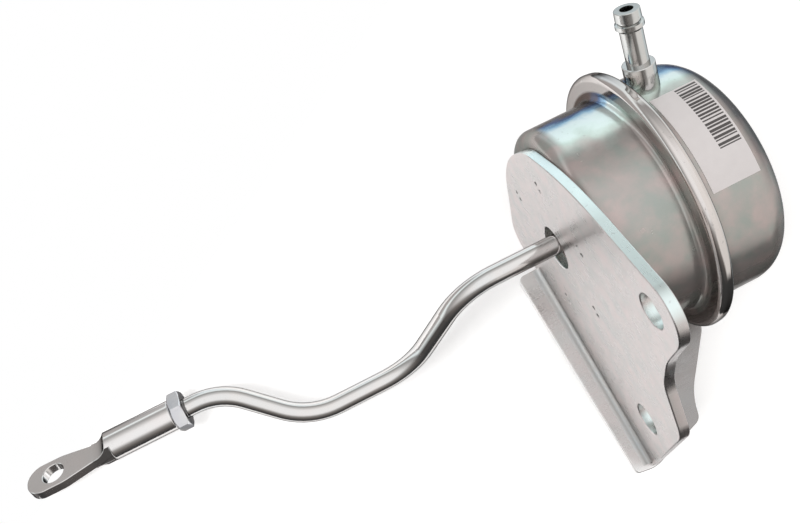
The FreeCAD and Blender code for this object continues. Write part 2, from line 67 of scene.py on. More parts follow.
camera_right = Vector((0.196949, -0.404124, 0.893250)).normalized()
camera_up = Vector((-0.589435, 0.679240, 0.437264)).normalized()
camera_back = camera_right.cross(camera_up)
camera_place = Vector((-222.38, -91.04, -64.74)) * MM

lens = bpy.data.cameras.new("photo_camera")
lens.sensor_width = SENSOR
lens.lens = FOCAL_PIXELS / IMAGE_WIDTH * SENSOR
lens.shift_y = (CENTRE_PIXEL_Y - IMAGE_HEIGHT / 2) / IMAGE_WIDTH
lens.clip_start = 0.01
lens.clip_end = 20
camera = bpy.data.objects.new("photo_camera", lens)
bpy.context.scene.collection.objects.link(camera)
camera.matrix_world = Matrix.Translation(camera_place) @ Matrix(
    (camera_right, camera_up, camera_back)).transposed().to_4x4()
bpy.context.scene.camera = camera
bpy.context.scene.view_settings.view_transform = "Standard"
print("lens", round(lens.lens, 1), "mm, shift", round(lens.shift_y, 4))

# %% [markdown]
# ## The stage's own directions
# The table, the light and the room are laid out as the picture shows them: to the right, upwards and out of it.
# These are the directions of the picture itself, and the table's corners are found from them too.

# %% Directions of the picture
image_right = Vector((0.204555, -0.395312, 0.895481)).normalized()
image_up = Vector((-0.630937, 0.646180, 0.429383)).normalized()
toward_camera = image_right.cross(image_up)
eye_place = Vector((-228.872, -93.739, -65.648)) * MM
EYE_FOCAL = 924.15
EYE_PIXEL_X = 386.96
EYE_PIXEL_Y = 157.55
print("out of the picture:", [round(part, 3) for part in toward_camera])

# %% [markdown]
# ## Small helpers for node trees
# A material is a tree of nodes.
# These helpers add a node, and either join a socket to another one or give it a plain value.

# %% Node helpers
def feed(tree, socket, value):
    """Join a socket to another node's output, or set it to a plain value."""
    if isinstance(value, bpy.types.NodeSocket):
        tree.links.new(value, socket)
    elif value is not None:
        socket.default_value = value


def add_node(tree, kind, inputs=None, **settings):
    """New node with its settings and inputs."""
    node = tree.nodes.new(kind)
    for name, value in settings.items():
        setattr(node, name, value)
    for name, value in (inputs or {}).items():
        feed(tree, node.inputs[name], value)
    return node


def calculate(tree, operation, first, second=None, third=None):
    """Output of a Math node."""
    node = tree.nodes.new("ShaderNodeMath")
    node.operation = operation
    for socket, value in zip(node.inputs, (first, second, third)):
        feed(tree, socket, value)
    return node.outputs[0]


def product(tree, first, *others):
    """Output of the Math nodes that multiply all these values."""
    for other in others:
        first = calculate(tree, "MULTIPLY", first, other)
    return first


def between(tree, value, low, high, to_low=0.0, to_high=1.0):
    """Output of a Map Range node that clamps."""
    node = add_node(tree, "ShaderNodeMapRange", {
        "Value": value, "From Min": low, "From Max": high, "To Min": to_low, "To Max": to_high})
    return node.outputs["Result"]


def blend_colours(tree, amount, first, second):
    """Output of a colour Mix node."""
    node = tree.nodes.new("ShaderNodeMix")
    node.data_type = "RGBA"
    feed(tree, node.inputs[0], amount)
    feed(tree, node.inputs[6], first)
    feed(tree, node.inputs[7], second)
    return node.outputs[2]


def noise(tree, place, scale, detail=3.0, roughness=0.5):
    """Output of a Noise texture, from 0 to 1."""
    node = add_node(tree, "ShaderNodeTexNoise", {
        "Vector": place, "Scale": scale, "Detail": detail, "Roughness": roughness})
    return node.outputs["Fac"]


def new_group(name, inputs, outputs):
    """Empty node group with named sockets, and its two end nodes."""
    group = bpy.data.node_groups.new(name, "ShaderNodeTree")
    kinds = {"value": "NodeSocketFloat", "colour": "NodeSocketColor", "vector": "NodeSocketVector"}
    for label, kind, default in inputs:
        socket = group.interface.new_socket(label, in_out="INPUT", socket_type=kinds[kind])
        if default is not None:
            socket.default_value = default
    for label, kind in outputs:
        group.interface.new_socket(label, in_out="OUTPUT", socket_type=kinds[kind])
    return group, group.nodes.new("NodeGroupInput"), group.nodes.new("NodeGroupOutput")


def use_group(tree, group, inputs):
    """A node that stands for a group, with its inputs."""
    node = tree.nodes.new("ShaderNodeGroup")
    node.node_tree = group
    for name, value in inputs.items():
        feed(tree, node.inputs[name], value)
    return node


print("node helpers are ready")

# %% [markdown]
# ## Places round an axis
# The cans, the nipple, the rod end and the nut are all round, and their marks run round or along an axis.
# This group turns a place into an angle, a radius and a height, so that every round piece can use the same patterns.

# %% Group: round the axis
round_axis, ends_in, ends_out = new_group(
    "round_the_axis", [("Place", "vector", None)], [("Angle", "value"), ("Radius", "value"), ("Height", "value")])
here = add_node(round_axis, "ShaderNodeSeparateXYZ", {"Vector": ends_in.outputs["Place"]}).outputs
angle = calculate(round_axis, "ARCTAN2", here["Y"], here["X"])
squares = calculate(
    round_axis, "ADD", calculate(round_axis, "POWER", here["X"], 2.0), calculate(round_axis, "POWER", here["Y"], 2.0))
radius = calculate(round_axis, "SQRT", squares)
for label, value in (("Angle", angle), ("Radius", radius), ("Height", here["Z"])):
    feed(round_axis, ends_out.inputs[label], value)
print("group", round_axis.name)

# %% [markdown]
# ## Clouds in the plating
# Zinc with a thin passivation is never one grey: it drifts softly between pink, grey and green.
# Two broad noises mix a warm and a cool tint into the base colour.

# %% Group: plating clouds
plating_clouds, ends_in, ends_out = new_group(
    "plating_clouds",
    [("Place", "vector", None), ("Base", "colour", (0.8, 0.8, 0.8, 1)), ("Warm", "colour", (0.8, 0.7, 0.7, 1)),
     ("Cool", "colour", (0.7, 0.8, 0.8, 1)), ("Scale", "value", 60.0), ("Amount", "value", 0.5)],
    [("Colour", "colour"), ("Cloud", "value")])
here = ends_in.outputs
warm_cloud = between(plating_clouds, noise(plating_clouds, here["Place"], here["Scale"], 4.0), 0.40, 0.66)
COOL_SHIFT = (0.31, 0.17, 0.23)
shifted = add_node(plating_clouds, "ShaderNodeVectorMath", {0: here["Place"], 1: COOL_SHIFT}, operation="ADD")
cool_cloud = between(plating_clouds, noise(plating_clouds, shifted.outputs[0], here["Scale"], 4.0), 0.42, 0.68)
tinted = here["Base"]
for cloud, tint in ((warm_cloud, "Warm"), (cool_cloud, "Cool")):
    tinted = blend_colours(plating_clouds, product(plating_clouds, cloud, here["Amount"]), tinted, here[tint])
feed(plating_clouds, ends_out.inputs["Colour"], tinted)
feed(plating_clouds, ends_out.inputs["Cloud"], warm_cloud)
print("group", plating_clouds.name)

# %% [markdown]
# ## Fine lines and specks
# Rolled, drawn and turned steel carries fine lines, and plating shows tiny specks.
# The lines are a noise on a place that is squeezed in one direction.
# The specks are the peaks of a very fine noise.

# %% Group: fine lines
fine_lines, ends_in, ends_out = new_group(
    "fine_lines", [("Place", "vector", None), ("Squeeze", "vector", (1, 1, 1)), ("Scale", "value", 800.0)],
    [("Height", "value"), ("Mask", "value")])
here = ends_in.outputs
squeezed = add_node(fine_lines, "ShaderNodeVectorMath", {0: here["Place"], 1: here["Squeeze"]}, operation="MULTIPLY")
line_noise = noise(fine_lines, squeezed.outputs[0], here["Scale"], 5.0, 0.65)
feed(fine_lines, ends_out.inputs["Height"], line_noise)
feed(fine_lines, ends_out.inputs["Mask"], between(fine_lines, line_noise, 0.35, 0.65))
print("group", fine_lines.name)

# %% Group: fine specks
fine_specks, ends_in, ends_out = new_group(
    "fine_specks", [("Place", "vector", None), ("Scale", "value", 900.0), ("Share", "value", 0.66)],
    [("Mask", "value")])
here = ends_in.outputs
speck_noise = noise(fine_specks, here["Place"], here["Scale"], 2.0)
SPECK_SOFTNESS = 0.06
speck_top = calculate(fine_specks, "ADD", here["Share"], SPECK_SOFTNESS)
feed(fine_specks, ends_out.inputs["Mask"], between(fine_specks, speck_noise, here["Share"], speck_top))
print("group", fine_specks.name)

# %% [markdown]
# ## Film colours and painted reflections on the cans
# Besides the film's own colours, the band paints reflections: its near-white cyan is a painted highlight, and its dark
# brown start and the near-black shoulder are painted shade.
# The thin film on fresh zinc turns blue, cyan and pale green where it is seen at a slant.
# On both cans it does so along the side of the nipple, so the colour follows the angle round their axis.
# Only the walls and the cap's shoulder carry it.
# The crimped rim, which lies further out, and the cap's flat end stay grey.

# %% Group: film colours and painted reflections
FILM_START_ANGLE = 126.0
FILM_SWEEP = 90.0
WALL_RADIUS = 36.2 * MM
film_and_painted_reflections, ends_in, ends_out = new_group(
    "film_and_painted_reflections", [("Place", "vector", None), ("Wall Radius", "value", WALL_RADIUS)],
    [("Colour", "colour"), ("Mask", "value"), ("Wall", "value")])
here = ends_in.outputs
film_turn = add_node(film_and_painted_reflections, "ShaderNodeVectorRotate", {
    "Vector": here["Place"], "Angle": math.radians(-FILM_START_ANGLE)}, rotation_type="Z_AXIS")
around = use_group(film_and_painted_reflections, round_axis, {"Place": film_turn.outputs[0]}).outputs
film_drift = between(film_and_painted_reflections, noise(film_and_painted_reflections, here["Place"], 90.0, 4.0), 0.3, 0.7, -0.12, 0.12)
film_angle = calculate(film_and_painted_reflections, "ADD", around["Angle"], film_drift)
film_share = between(film_and_painted_reflections, film_angle, 0.0, math.radians(FILM_SWEEP))
film_and_reflection_ramp = add_node(film_and_painted_reflections, "ShaderNodeValToRGB", {"Fac": film_share})


def fill_ramp(ramp_node, stops):
    """Give a colour ramp its stops of (place, colour)."""
    ramp = ramp_node.color_ramp
    ramp.elements[0].position = stops[0][0]
    ramp.elements[1].position = stops[-1][0]
    for position, _ in stops[1:-1]:
        ramp.elements.new(position)
    for element, (_, colour) in zip(ramp.elements, stops):
        element.color = (*colour, 1)


# The dark brown start of the ramp is painted shade, and its near-white cyan stop is a painted highlight.
fill_ramp(film_and_reflection_ramp, (
    (0.00, (0.20, 0.16, 0.14)), (0.14, (0.22, 0.18, 0.17)), (0.22, (0.16, 0.24, 0.42)), (0.30, (0.45, 0.68, 0.88)),
    (0.37, (0.90, 1.00, 1.00)), (0.47, (0.78, 0.93, 0.86)), (0.66, (0.60, 0.58, 0.56))))
print("film from", FILM_START_ANGLE, "to", FILM_START_ANGLE + FILM_SWEEP, "degrees")

# %% Where the film and the painted reflections show
WALL_BLUR = 0.4 * MM
CUP_CORNER = (6.5 * MM, 8.5 * MM)
SHOULDER_FOOT = (46.8 * MM, 50.8 * MM)
CAP_END_EDGE = (24.0 * MM, 32.0 * MM)
# On the cap's shoulder the band turns deep blue and then near-black, which is painted shade.
SHOULDER_BLUE = (0.05, 0.10, 0.24, 1)
SHOULDER_PAINTED_DARK = (0.075, 0.078, 0.088, 1)
film_ends = between(film_and_painted_reflections, film_share, 0.42, 0.62, 1.0, 0.0)
past_wall = calculate(film_and_painted_reflections, "SUBTRACT", around["Radius"], here["Wall Radius"])
film_wall = between(film_and_painted_reflections, past_wall, -WALL_BLUR, WALL_BLUR, 1.0, 0.0)
film_front = between(film_and_painted_reflections, around["Angle"], math.radians(-60), math.radians(-20))
film_corner = between(film_and_painted_reflections, around["Height"], *CUP_CORNER)
film_and_reflection_mask = product(film_and_painted_reflections, film_ends, film_wall, film_front, film_corner)
shoulder_height = between(film_and_painted_reflections, around["Height"], *SHOULDER_FOOT)
shoulder_end = between(film_and_painted_reflections, film_angle, math.radians(75), math.radians(115), 0.80, 0.0)
shoulder_mask = product(film_and_painted_reflections, shoulder_height, shoulder_end, film_front)
off_the_end = between(film_and_painted_reflections, around["Radius"], *CAP_END_EDGE)
film_and_reflection_mask = product(film_and_painted_reflections, calculate(film_and_painted_reflections, "MAXIMUM", film_and_reflection_mask, shoulder_mask), off_the_end)
shoulder_share = between(film_and_painted_reflections, film_share, 0.30, 0.55)
shoulder_painted_shade = blend_colours(film_and_painted_reflections, shoulder_share, SHOULDER_BLUE, SHOULDER_PAINTED_DARK)
film_and_reflection_colour = blend_colours(film_and_painted_reflections, shoulder_height, film_and_reflection_ramp.outputs["Color"], shoulder_painted_shade)
for label, value in (("Colour", film_and_reflection_colour), ("Mask", film_and_reflection_mask), ("Wall", film_wall)):
    feed(film_and_painted_reflections, ends_out.inputs[label], value)
print("group", film_and_painted_reflections.name)

# %% [markdown]
# ## Prints of the projection welds
# The shallow prints lie on a circle round the rod's hole, and they are painted darker than the plate.
# Their walls and floors are the only faces near that circle that lie a little behind the plate's face.

# %% Group: weld prints
AXIS = Vector((0, 47.4, 0)) * MM
PRINT_CIRCLE = 22.5 * MM
PRINT_REACH = 3.0 * MM
PRINT_DEPTHS = (0.05 * MM, 0.30 * MM)
weld_prints, ends_in, ends_out = new_group("weld_prints", [("Place", "vector", None)], [("Mask", "value")])
around = use_group(weld_prints, round_axis, {"Place": ends_in.outputs["Place"]}).outputs
off_circle = calculate(weld_prints, "SUBTRACT", around["Radius"], PRINT_CIRCLE)
print_band = calculate(weld_prints, "LESS_THAN", calculate(weld_prints, "ABSOLUTE", off_circle), PRINT_REACH)
print_depth = between(weld_prints, around["Height"], *PRINT_DEPTHS)
feed(weld_prints, ends_out.inputs["Mask"], product(weld_prints, print_band, print_depth))
print("group", weld_prints.name)

# %% [markdown]
# ## Plated steel
# Every outer piece is zinc plated steel, so one function makes them all, each with its own colours, gloss and lines.
# The shader itself stays in the material. The groups only give it colours, values and heights.
# The specular tint of a metal darkens it only where it is seen edge-on, as a dull film does on the real plating.

# %% Plated steel material
def shift_place(tree, centre):
    """Object coordinates with their zero at a centre."""
    coordinates = add_node(tree, "ShaderNodeTexCoord")
    moved = add_node(tree, "ShaderNodeMapping", {"Vector": coordinates.outputs["Object"]})
    moved.inputs["Location"].default_value = tuple(-part for part in centre)
    return moved.outputs[0]


def start_material(name):
    """New material with an empty tree, its shader and its output."""
    material = bpy.data.materials.new(name)
    material.use_nodes = True
    tree = material.node_tree
    tree.nodes.clear()
    shader = tree.nodes.new("ShaderNodeBsdfPrincipled")
    output = tree.nodes.new("ShaderNodeOutputMaterial")
    tree.links.new(shader.outputs["BSDF"], output.inputs["Surface"])
    return material, tree, shader


SPECK_COLOUR = (0.45, 0.44, 0.43, 1)
PAINTED_SHADE_COLOUR = (0.16, 0.145, 0.14, 1)
PRINT_COLOUR = (0.10, 0.095, 0.09, 1)
CUT_EDGE_HIGHLIGHT_COLOUR = (0.88, 1.00, 0.99, 1)
RIM_COLOUR = (0.84, 0.80, 0.78, 1)
PAINTED_SHADE_DEPTH = 4.0 * MM
BUMP_DISTANCE = 0.1 * MM


def plated_steel(name, base, warm, cool, gloss, centre=(0, 0, 0), line_squeeze=(1, 1, 1), line_scale=800.0,
                 line_height=0.04, round_lines=None, cloud_scale=60.0, cloud_amount=0.5, specks=0.3,
                 film_and_reflections=False, edge_tint=0.10, shade_behind_plate=0.0, dark_prints_and_edge_highlight=False):
    """Metal with clouds, fine lines and specks. Round lines run round an axis or along it."""
    material, tree, shader = start_material(name)
    place = shift_place(tree, centre)
    clouds = use_group(tree, plating_clouds, {
        "Place": place, "Base": base, "Warm": warm, "Cool": cool, "Scale": cloud_scale, "Amount": cloud_amount})
    plating = clouds.outputs["Colour"]
    # Painted shade: behind the bracket plate's face the plate is blended towards a dark colour.
    if shade_behind_plate > 0:
        height = add_node(tree, "ShaderNodeSeparateXYZ", {"Vector": place}).outputs["Z"]
        painted_shade_share = between(tree, height, 0.0, PAINTED_SHADE_DEPTH, 0.0, shade_behind_plate)
        plating = blend_colours(tree, painted_shade_share, plating, PAINTED_SHADE_COLOUR)
    if dark_prints_and_edge_highlight:
        prints = use_group(tree, weld_prints, {"Place": shift_place(tree, AXIS)})
        plating = blend_colours(tree, prints.outputs["Mask"], plating, PRINT_COLOUR)
        # Painted highlight: faces that point along minus x, the bracket's cut edges, are painted a near-white cyan.
        normal = add_node(tree, "ShaderNodeTexCoord").outputs["Normal"]
        facing = add_node(tree, "ShaderNodeSeparateXYZ", {"Vector": normal}).outputs
        cut_edge_highlight = product(
            tree, between(tree, facing["X"], -0.85, -0.55, 1.0, 0.0),
            between(tree, calculate(tree, "ABSOLUTE", facing["Z"]), 0.2, 0.6, 1.0, 0.0))
        plating = blend_colours(tree, cut_edge_highlight, plating, CUT_EDGE_HIGHLIGHT_COLOUR)
    # Film colours on the cans, with a painted highlight and painted shade in the same band, then the rim's own colour.
    if film_and_reflections:
        film_and_reflection_tints = use_group(tree, film_and_painted_reflections, {"Place": place}).outputs
        plating = blend_colours(tree, film_and_reflection_tints["Mask"], plating, film_and_reflection_tints["Colour"])
        plating = blend_colours(tree, between(tree, film_and_reflection_tints["Wall"], 0.0, 1.0, 0.85, 0.0), plating, RIM_COLOUR)
    line_place = place
    if round_lines is not None:
        turn = use_group(tree, round_axis, {"Place": place}).outputs
        turn_scale, rise_scale = round_lines
        line_place = add_node(tree, "ShaderNodeCombineXYZ", {
            "X": product(tree, calculate(tree, "SINE", turn["Angle"]), turn_scale),
            "Y": product(tree, calculate(tree, "COSINE", turn["Angle"]), turn_scale),
            "Z": product(tree, turn["Height"], rise_scale)}).outputs[0]
    lines = use_group(tree, fine_lines, {"Place": line_place, "Squeeze": line_squeeze, "Scale": line_scale})
    speckles = use_group(tree, fine_specks, {"Place": place})
    colour = blend_colours(tree, product(tree, speckles.outputs["Mask"], specks), plating, SPECK_COLOUR)
    feed(tree, shader.inputs["Base Color"], colour)
    shader.inputs["Metallic"].default_value = 1.0
    shader.inputs["Specular Tint"].default_value = (edge_tint, edge_tint, edge_tint, 1)
    low, high = gloss
    rough = between(tree, calculate(tree, "ADD", clouds.outputs["Cloud"], lines.outputs["Mask"]), 0.0, 2.0, low, high)
    if film_and_reflections:
        rough = product(tree, rough, between(tree, film_and_reflection_tints["Wall"], 0.0, 1.0, 0.45, 1.0))
        feed(tree, shader.inputs["Metallic"], between(tree, film_and_reflection_tints["Wall"], 0.0, 1.0, 1.0, 0.70))
    feed(tree, shader.inputs["Roughness"], rough)
    bump = add_node(tree, "ShaderNodeBump", {
        "Strength": line_height, "Distance": BUMP_DISTANCE, "Height": lines.outputs["Height"]})
    feed(tree, shader.inputs["Normal"], bump.outputs["Normal"])
    return material


print("plated steel is ready")

# %% [markdown]
# ## The finishes of this actuator
# The bracket is a satin, slightly pink grey. The cans are drawn, with faint lines along the axis and a cooler tint.
# The rod is bright drawn wire, and the nut has a bluish passivation.

# %% Finishes
ROD_END_AXIS = Vector((13.3, 62.6, 0)) * MM

# The bracket gets darker weld prints and a painted highlight on its cut edges.
bracket_finish = plated_steel(
    "bracket_plate_finish", (0.75, 0.71, 0.70, 1), (0.82, 0.735, 0.725, 1), (0.68, 0.68, 0.67, 1), (0.24, 0.38),
    line_squeeze=(1.0, 0.2, 1.0), line_scale=900.0, line_height=0.05, cloud_scale=160.0, cloud_amount=0.8,
    edge_tint=0.72, dark_prints_and_edge_highlight=True)
# The side plate is painted darker behind the bracket plate's face, as painted shade.
side_finish = plated_steel(
    "side_plate_finish", (0.95, 0.93, 0.92, 1), (0.97, 0.92, 0.91, 1), (0.93, 0.95, 0.94, 1), (0.20, 0.34),
    line_squeeze=(1.0, 1.0, 0.2), line_scale=900.0, line_height=0.05, cloud_scale=160.0, cloud_amount=0.7,
    edge_tint=0.85, shade_behind_plate=0.72, specks=0.12)
# The cans carry the film colours, with painted reflections in them.
shell_finish = plated_steel(
    "drawn_shell_finish", (0.48, 0.445, 0.425, 1), (0.57, 0.48, 0.46, 1), (0.39, 0.43, 0.40, 1), (0.13, 0.28),
    centre=AXIS, round_lines=(0.10, 3.0), line_scale=60.0, line_height=0.03, cloud_scale=170.0, cloud_amount=0.9,
    film_and_reflections=True)
rod_finish = plated_steel(
    "drawn_rod_finish", (0.82, 0.805, 0.79, 1), (0.84, 0.79, 0.77, 1), (0.78, 0.81, 0.82, 1), (0.07, 0.15),
    line_squeeze=(1.0, 1.0, 0.08), line_scale=1500.0, line_height=0.05, cloud_scale=90.0, specks=0.06, edge_tint=0.0)
rod_end_finish = plated_steel(
    "rod_end_finish", (0.88, 0.86, 0.85, 1), (0.90, 0.85, 0.84, 1), (0.85, 0.87, 0.87, 1), (0.10, 0.20),
    centre=ROD_END_AXIS, round_lines=(0.01, 1.0), line_scale=2500.0, line_height=0.05, cloud_scale=90.0, specks=0.06,
    edge_tint=0.0)
nut_finish = plated_steel(
    "jam_nut_finish", (0.84, 0.84, 0.85, 1), (0.88, 0.85, 0.84, 1), (0.66, 0.68, 0.76, 1), (0.08, 0.16),
    centre=ROD_END_AXIS, line_scale=1500.0, cloud_scale=180.0, specks=0.1)
nipple_finish = plated_steel(
    "nipple_finish", (0.74, 0.74, 0.73, 1), (0.77, 0.74, 0.72, 1), (0.70, 0.74, 0.73, 1), (0.10, 0.20),
    line_scale=1500.0, cloud_scale=150.0)
weld_finish = plated_steel(
    "weld_finish", (0.70, 0.69, 0.68, 1), (0.76, 0.71, 0.69, 1), (0.66, 0.70, 0.72, 1), (0.30, 0.45),
    line_scale=700.0, line_height=0.25, cloud_scale=160.0)
inner_finish = plated_steel(
    "inner_pressing_finish", (0.60, 0.60, 0.60, 1), (0.62, 0.60, 0.58, 1), (0.58, 0.60, 0.62, 1), (0.28, 0.40),
    centre=AXIS, round_lines=(0.35, 3.0), line_scale=60.0)
spring_finish = plated_steel(
    "spring_wire_finish", (0.42, 0.42, 0.43, 1), (0.44, 0.42, 0.40, 1), (0.40, 0.42, 0.46, 1), (0.24, 0.36),
    line_scale=900.0)
bush_finish = plated_steel(
    "sintered_bush_finish", (0.66, 0.50, 0.28, 1), (0.70, 0.54, 0.30, 1), (0.58, 0.46, 0.30, 1), (0.34, 0.50),
    line_scale=1800.0, line_height=0.15)
print("finishes:", len(bpy.data.materials))

# %% [markdown]
# ## The diaphragm's rubber and the white label
# The rubber is nearly black, with a fabric's fine grid pressed into it.
# The label is a white film. It stays plain, apart from a row of bars near one end.
# The widths of the bars come from a noise, so they say nothing.

# %% Rubber
rubber_finish, tree, shader = start_material("diaphragm_rubber_finish")
rubber_place = shift_place(tree, AXIS)
rubber_cloud = noise(tree, rubber_place, 120.0, 4.0)
rubber = blend_colours(tree, rubber_cloud, (0.018, 0.018, 0.019, 1), (0.05, 0.05, 0.05, 1))
feed(tree, shader.inputs["Base Color"], rubber)
feed(tree, shader.inputs["Roughness"], between(tree, rubber_cloud, 0.3, 0.7, 0.5, 0.7))
weave = add_node(tree, "ShaderNodeTexWave", {"Vector": rubber_place, "Scale": 500.0, "Distortion": 0.5})
weave_bump = add_node(tree, "ShaderNodeBump", {
    "Strength": 0.2, "Distance": BUMP_DISTANCE, "Height": weave.outputs["Fac"]})
feed(tree, shader.inputs["Normal"], weave_bump.outputs["Normal"])
print("material", rubber_finish.name)

# %% Label
label_finish, tree, shader = start_material("label_film_finish")
label_place = shift_place(tree, AXIS)
around = use_group(tree, round_axis, {"Place": label_place}).outputs
paper_cloud = noise(tree, label_place, 400.0, 3.0)
paper = blend_colours(tree, paper_cloud, (0.62, 0.585, 0.58, 1), (0.67, 0.635, 0.63, 1))

BAR_START_ANGLE = 172.5
BAR_END_ANGLE = 208.5
BAR_COUNT = 21
BAR_LOW = 41.6 * MM
BAR_HIGH = 48.0 * MM
BAR_COLOUR = (0.075, 0.068, 0.066, 1)
behind_seam = calculate(tree, "LESS_THAN", around["Angle"], 0.0)
whole_turn = calculate(tree, "MULTIPLY_ADD", behind_seam, 2 * math.pi, around["Angle"])
bar_share = add_node(tree, "ShaderNodeMapRange", {
    "Value": whole_turn, "From Min": math.radians(BAR_START_ANGLE), "From Max": math.radians(BAR_END_ANGLE)},
    clamp=False).outputs["Result"]
bar_place = calculate(tree, "MULTIPLY", bar_share, BAR_COUNT)
bar_number = calculate(tree, "FLOOR", bar_place)
bar_chance = add_node(tree, "ShaderNodeTexWhiteNoise", {"W": bar_number}, noise_dimensions="1D").outputs["Value"]
bar_width = calculate(tree, "MULTIPLY_ADD", bar_chance, 0.45, 0.35)
bar_mask = calculate(tree, "LESS_THAN", calculate(tree, "FRACT", bar_place), bar_width)
for value, operation, limit in (
        (bar_share, "GREATER_THAN", 0.0), (bar_share, "LESS_THAN", 1.0),
        (around["Height"], "GREATER_THAN", BAR_LOW), (around["Height"], "LESS_THAN", BAR_HIGH)):
    bar_mask = product(tree, bar_mask, calculate(tree, operation, value, limit))
feed(tree, shader.inputs["Base Color"], blend_colours(tree, bar_mask, paper, BAR_COLOUR))
shader.inputs["Roughness"].default_value = 0.42
print("material", label_finish.name, "with", BAR_COUNT, "bars")

# %% [markdown]
# ## Give every solid its finish
# A solid keeps its mesh and its place. Only the material in its first slot changes.

# %% Assign finishes
finish_of = {
    "bracket_plate": bracket_finish, "side_plate": side_finish, "side_weld": weld_finish,
    "lower_can": shell_finish, "upper_can": shell_finish, "hose_nipple": nipple_finish, "label": label_finish,
    "diaphragm": rubber_finish, "piston": inner_finish, "retainer_cup": inner_finish, "rod_washer": inner_finish,
    "piston_nut": inner_finish, "return_spring": spring_finish, "spring_seat": inner_finish,
    "rod_bush": bush_finish, "bush_retainer": inner_finish, "actuator_rod": rod_finish,
    "jam_nut": nut_finish, "rod_end": rod_end_finish,
}
for name, material in finish_of.items():
    nodes[name].data.materials.clear()
    nodes[name].data.materials.append(material)
print("dressed", len(finish_of), "solids")

# %% [markdown]
# ## Broken edges
# No stamped or turned edge is as sharp as a drawn one: punching rounds it a little, and tumbling rounds it more.
# A thin bevel on a merged copy of the solid does that, and the small round edge then catches the light as a fine line.
# The copy stands for the solid in the picture, while the solid itself stays in the model.

# %% Merged copy of a solid
MERGE_DISTANCE = 0.002 * MM
SMOOTH_ANGLE = math.radians(35)


def merged_copy(name, ending, flat_angle=None):
    """Copy of a solid with its loose triangles merged, and its flat faces joined on request."""
    piece = bpy.data.objects.new(name + ending, nodes[name].data.copy())
    bpy.context.scene.collection.objects.link(piece)
    bpy.ops.object.select_all(action="DESELECT")
    piece.select_set(True)
    bpy.context.view_layer.objects.active = piece
    bpy.ops.mesh.customdata_custom_splitnormals_clear()
    bpy.ops.object.mode_set(mode="EDIT")
    bpy.ops.mesh.select_all(action="SELECT")
    bpy.ops.mesh.remove_doubles(threshold=MERGE_DISTANCE)
    if flat_angle is not None:
        bpy.ops.mesh.dissolve_limited(angle_limit=math.radians(flat_angle))
    bpy.ops.mesh.normals_make_consistent(inside=False)
    bpy.ops.object.mode_set(mode="OBJECT")
    return piece


print("copies merge points closer than", round(MERGE_DISTANCE * 1e6), "thousandths of a millimetre")

# %% Copies with broken edges
def break_edges(name, body, width, sharp_angle):
    """Merged copy of a solid whose sharp edges are rounded over, in place of the solid."""
    piece = merged_copy(name, "_broken_edges", flat_angle=0.3)
    rounding = piece.modifiers.new("rounding", "BEVEL")
    rounding.width = width
    rounding.segments = 3
    rounding.limit_method = "ANGLE"
    rounding.angle_limit = math.radians(sharp_angle)
    rounding.use_clamp_overlap = False
    bpy.ops.object.modifier_apply(modifier=rounding.name)
    bpy.ops.object.shade_smooth_by_angle(angle=SMOOTH_ANGLE)
    shading = piece.modifiers.new("even_shading", "WEIGHTED_NORMAL")
    shading.keep_sharp = True
    bpy.ops.object.modifier_apply(modifier=shading.name)
    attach(piece, body)
    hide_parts(name)
    print(piece.name, len(piece.data.polygons), "faces")


break_edges("bracket_plate", "canister", 0.40 * MM, 60)
break_edges("side_plate", "canister", 0.40 * MM, 60)
break_edges("jam_nut", "rod", 0.15 * MM, 50)
break_edges("rod_end", "rod", 0.25 * MM, 60)

# %% [markdown]
# ## Copies of the spring and the diaphragm
# When the rod comes out, the piston presses the spring down onto its seat, and the diaphragm rolls down with it.
# A solid can't do that by itself. Here each is only replaced by a merged, smoothly shaded copy on the canister, which
# keeps its length.


def shorten_with_rod(name):
    """Merged, smoothly shaded copy of a solid on the canister, in place of the solid."""
    piece = merged_copy(name, "_that_shortens")
    bpy.ops.object.shade_smooth_by_angle(angle=SMOOTH_ANGLE)
    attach(piece, "canister")
    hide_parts(name)
    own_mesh(piece)


shorten_with_rod("return_spring")
shorten_with_rod("diaphragm")

# %% [markdown]
# ## The table under the actuator
# The actuator lies on a white table, on its bracket and its rod end, and the camera looks down on it.
# The table is a plane behind the object, seen from its front only, so that the other views aren't blocked by it.

# %% Table
TABLE_DEPTH = 312.8 * MM
TABLE_LEAN_RIGHT = 0.1915
TABLE_LEAN_UP = 0.1787
TABLE_CORNERS = ((10, 550), (812, 550), (405, -20), (812, -20))
TABLE_GLOW = 0.31
table_middle = eye_place - toward_camera * TABLE_DEPTH
table_up = (toward_camera + image_right * TABLE_LEAN_RIGHT + image_up * TABLE_LEAN_UP).normalized()


def table_point(pixel_x, pixel_y):
    """Place on the table that a pixel of the picture shows."""
    ray = image_right * (pixel_x - EYE_PIXEL_X) - image_up * (pixel_y - EYE_PIXEL_Y)
    ray -= toward_camera * EYE_FOCAL
    return eye_place + ray * ((table_middle - eye_place).dot(table_up) / ray.dot(table_up))


bpy.ops.object.select_all(action="DESELECT")
bpy.ops.mesh.primitive_plane_add(size=1, location=(0, 0, 0))
table = bpy.context.object
table.name = "table"
for corner, pixel in zip(table.data.vertices, TABLE_CORNERS):
    corner.co = table_point(*pixel)

